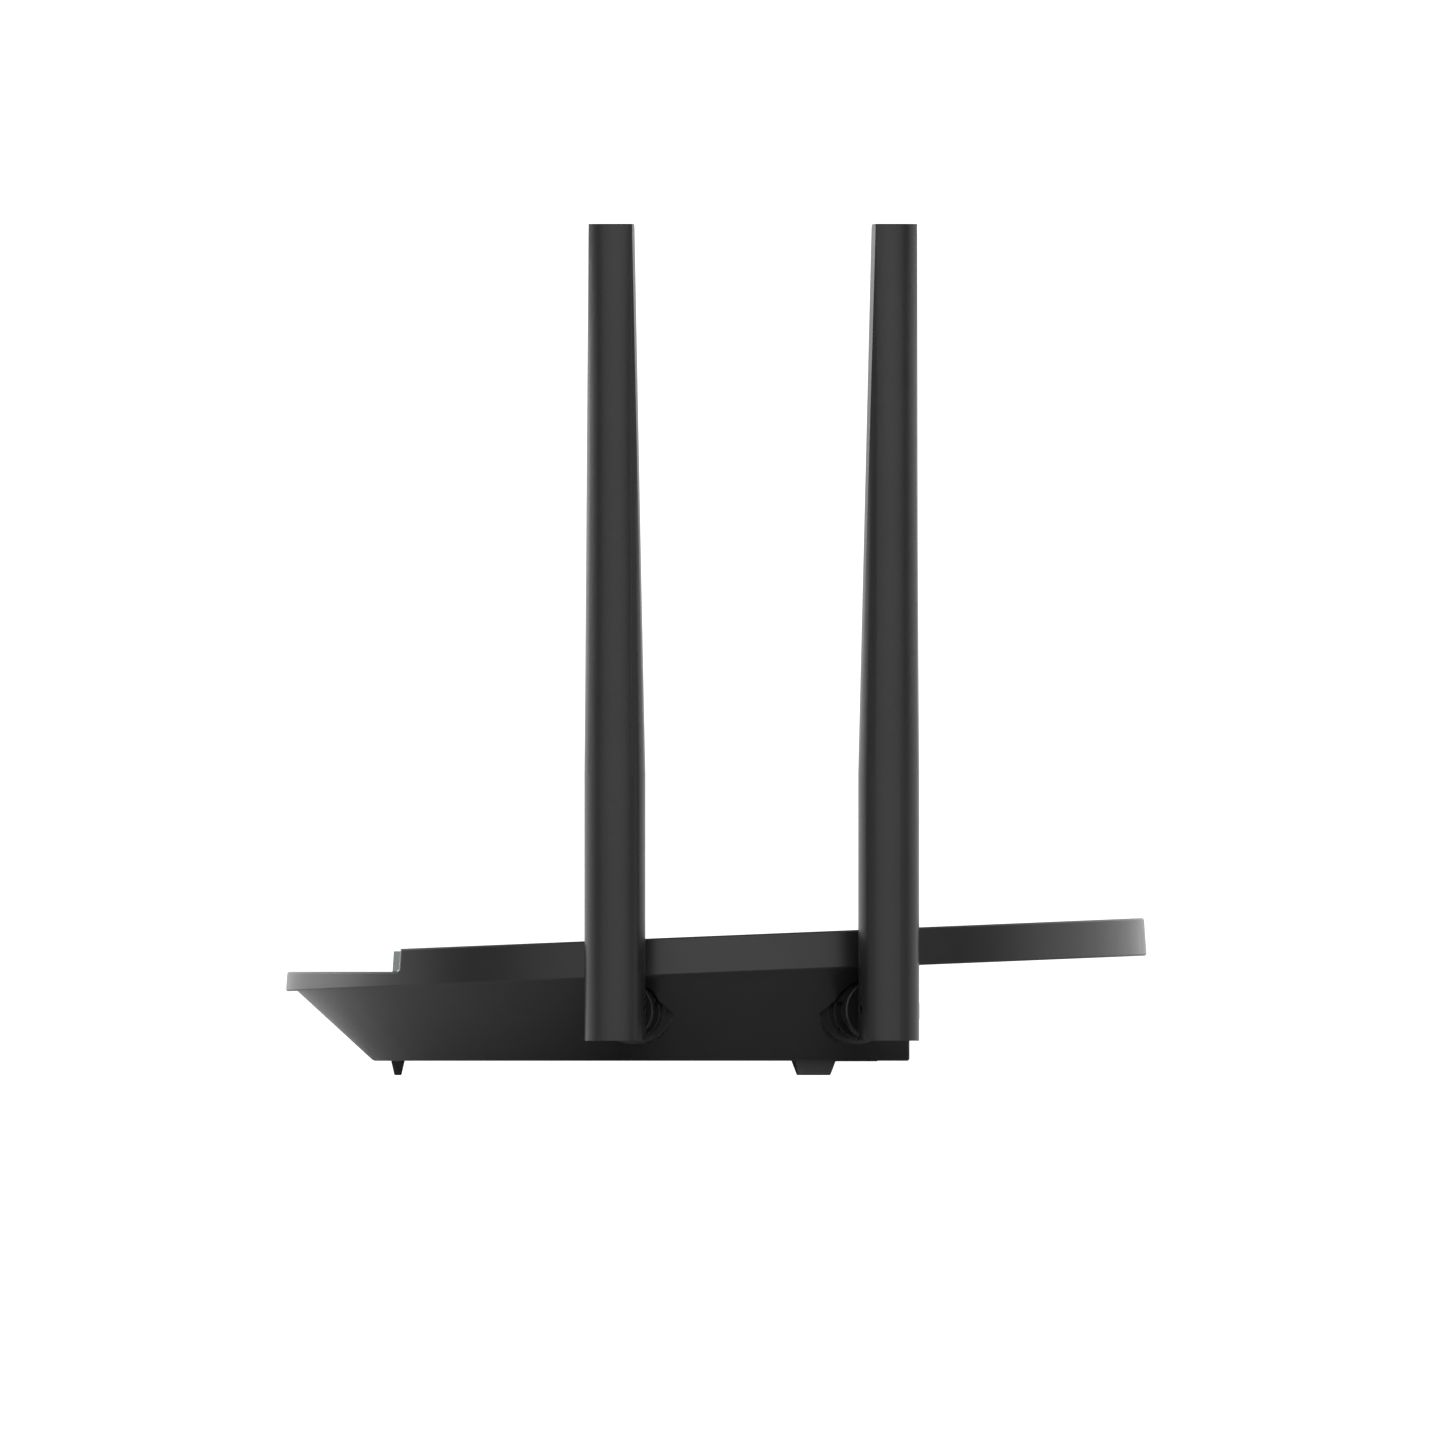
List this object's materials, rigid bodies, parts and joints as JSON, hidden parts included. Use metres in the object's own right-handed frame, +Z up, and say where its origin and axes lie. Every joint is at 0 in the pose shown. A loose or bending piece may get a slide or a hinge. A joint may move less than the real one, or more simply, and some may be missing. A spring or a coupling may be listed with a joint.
{
  "type": "wireless router",
  "caption": "Round wireless router with a tilted cover, stepped front lip, conical base on bar feet, and swivelling, tilting antennas",
  "frame": {"origin": "on the axis of the round case, on the surface that the feet stand on", "axes": "+Z up; the front lip faces -X and the socket panel faces +X; left is +Y"},
  "size_m": [0.1829, 0.205, 0.1809],
  "materials": {
    "case_black": "satin black injection-moulded ABS with a fine spark texture",
    "antenna_black": "satin black ABS, slightly smoother than the case",
    "hinge_black": "black acetal, satin",
    "window_smoke": "smoked translucent polycarbonate, polished",
    "guide_clear": "clear acrylic",
    "led_white": "white LED bodies",
    "board_green": "solder-masked glass-epoxy board",
    "ribbon_white": "white flat flexible cable",
    "foot_rubber": "black rubber, matte",
    "screw_zinc": "zinc-plated steel",
    "clip_steel": "bright spring steel",
    "sink_aluminium": "extruded aluminium, fine matte",
    "shield_steel": "tin-plated steel can",
    "chip_black": "black moulded epoxy",
    "contact_brass": "gold-flashed brass",
    "port_blue": "blue moulded socket",
    "port_yellow": "yellow moulded socket",
    "jack_black": "black moulded jack",
    "button_black": "satin black button caps",
    "plunger_grey": "grey switch plunger",
    "lead_black": "black coax jacket"
  },
  "bodies": {
    "case": {"lower_case": "case_black", "top_cover": "case_black", "light_window": "window_smoke", "light_guide": "guide_clear", "led_board": "board_green", "status_leds": "led_white", "led_cable": "ribbon_white", "front_foot": "foot_rubber", "rear_left_foot": "foot_rubber", "rear_right_foot": "foot_rubber", "case_screws": "screw_zinc", "board_screws": "screw_zinc", "main_board": "board_green", "heatsink": "sink_aluminium", "rf_shield": "shield_steel", "board_chips": "chip_black", "lan_transformers": "chip_black", "capacitors": "chip_black", "antenna_sockets": "contact_brass", "wan_port": "port_blue", "lan_port_1": "port_yellow", "lan_port_2": "port_yellow", "lan_port_3": "port_yellow", "lan_port_4": "port_yellow", "power_jack": "jack_black", "power_jack_pin": "contact_brass", "power_switch": "chip_black", "wps_switch": "chip_black", "reset_switch": "chip_black", "front_left_lead": "lead_black", "rear_left_lead": "lead_black", "front_right_lead": "lead_black", "rear_right_lead": "lead_black"},
    "front_left_swivel": {"front_left_swivel": "hinge_black", "front_left_retainer": "clip_steel"},
    "front_left_antenna": {"front_left_antenna": "antenna_black", "front_left_antenna_back": "antenna_black", "front_left_radiator": "board_green", "front_left_hinge_pin": "clip_steel"},
    "rear_left_swivel": {"rear_left_swivel": "hinge_black", "rear_left_retainer": "clip_steel"},
    "rear_left_antenna": {"rear_left_antenna": "antenna_black", "rear_left_antenna_back": "antenna_black", "rear_left_radiator": "board_green", "rear_left_hinge_pin": "clip_steel"},
    "front_right_swivel": {"front_right_swivel": "hinge_black", "front_right_retainer": "clip_steel"},
    "front_right_antenna": {"front_right_antenna": "antenna_black", "front_right_antenna_back": "antenna_black", "front_right_radiator": "board_green", "front_right_hinge_pin": "clip_steel"},
    "rear_right_swivel": {"rear_right_swivel": "hinge_black", "rear_right_retainer": "clip_steel"},
    "rear_right_antenna": {"rear_right_antenna": "antenna_black", "rear_right_antenna_back": "antenna_black", "rear_right_radiator": "board_green", "rear_right_hinge_pin": "clip_steel"},
    "power_button": {"power_button": "button_black"},
    "wps_button": {"wps_button": "button_black"},
    "reset_plunger": {"reset_plunger": "plunger_grey"}
  },
  "joints": [
    {"name": "front_left_swivel_turn", "type": "hinge", "parent": "case", "child": "front_left_swivel", "pos_m": [-0.01784, 0.0785, 0.01388], "axis": [0.2215, -0.9751, 0], "range_deg": [-90, 90]},
    {"name": "front_left_tilt", "type": "hinge", "parent": "front_left_swivel", "child": "front_left_antenna", "pos_m": [-0.0218, 0.09595, 0.01388], "axis": [-0.9751, -0.2215, 0], "range_deg": [0, 90]},
    {"name": "rear_left_swivel_turn", "type": "hinge", "parent": "case", "child": "rear_left_swivel", "pos_m": [0.02976, 0.0748, 0.01388], "axis": [-0.3697, -0.9291, 0], "range_deg": [-90, 90]},
    {"name": "rear_left_tilt", "type": "hinge", "parent": "rear_left_swivel", "child": "rear_left_antenna", "pos_m": [0.03638, 0.09143, 0.01388], "axis": [-0.9291, 0.3697, 0], "range_deg": [0, 90]},
    {"name": "front_right_swivel_turn", "type": "hinge", "parent": "case", "child": "front_right_swivel", "pos_m": [-0.01784, -0.0785, 0.01388], "axis": [-0.2215, -0.9751, 0], "range_deg": [-90, 90]},
    {"name": "front_right_tilt", "type": "hinge", "parent": "front_right_swivel", "child": "front_right_antenna", "pos_m": [-0.0218, -0.09595, 0.01388], "axis": [0.9751, -0.2215, 0], "range_deg": [0, 90]},
    {"name": "rear_right_swivel_turn", "type": "hinge", "parent": "case", "child": "rear_right_swivel", "pos_m": [0.02976, -0.0748, 0.01388], "axis": [0.3697, -0.9291, 0], "range_deg": [-90, 90]},
    {"name": "rear_right_tilt", "type": "hinge", "parent": "rear_right_swivel", "child": "rear_right_antenna", "pos_m": [0.03638, -0.09143, 0.01388], "axis": [0.9291, 0.3697, 0], "range_deg": [0, 90]},
    {"name": "power_button_press", "type": "slide", "parent": "case", "child": "power_button", "axis": [-1, 0, 0], "range_m": [0, 0.0018], "stiffness_N_per_m": 400},
    {"name": "wps_button_press", "type": "slide", "parent": "case", "child": "wps_button", "axis": [-1, 0, 0], "range_m": [0, 0.0006], "stiffness_N_per_m": 1500},
    {"name": "reset_plunger_press", "type": "slide", "parent": "case", "child": "reset_plunger", "axis": [-1, 0, 0], "range_m": [0, 0.0003], "stiffness_N_per_m": 2500}
  ]
}
